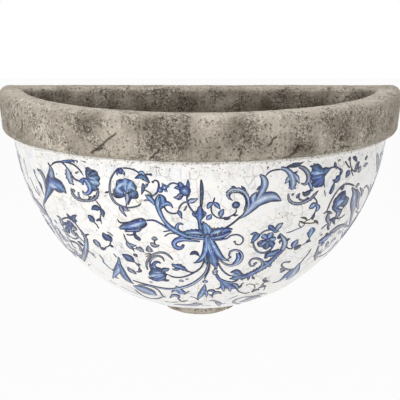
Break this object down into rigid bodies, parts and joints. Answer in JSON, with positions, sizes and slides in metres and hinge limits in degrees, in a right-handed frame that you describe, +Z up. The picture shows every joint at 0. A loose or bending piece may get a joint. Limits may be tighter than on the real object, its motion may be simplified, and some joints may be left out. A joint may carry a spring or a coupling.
{
  "type": "half-round wall planter",
  "caption": "Half-round ceramic wall planter with a flat back, a heavy unglazed rim over a glazed ornamented bowl, a small foot with a drain hole and hanging holes in the back.",
  "frame": {"origin": "midway between the two hanging holes, in the plane of the wall", "axes": "+X along the wall, +Y out of the pot's back into the wall, +Z up; the pot stands out along -Y"},
  "size_m": [0.39, 0.195, 0.227],
  "materials": {
    "bowl_clay": "unglazed, grey-brown",
    "slab_clay": "unglazed, grey-brown",
    "rim_clay": "unglazed, aged, warm grey with fine speckle",
    "foot_clay": "unglazed, brown-grey",
    "white_glaze": "glossy white crackle glaze with blue leaf scrolls"
  },
  "bodies": {
    "root": {"bowl_shell": "bowl_clay", "back_slab": "slab_clay", "rim_collar": "rim_clay", "foot_plug": "foot_clay", "glaze_coat": "white_glaze"}
  },
  "joints": []
}
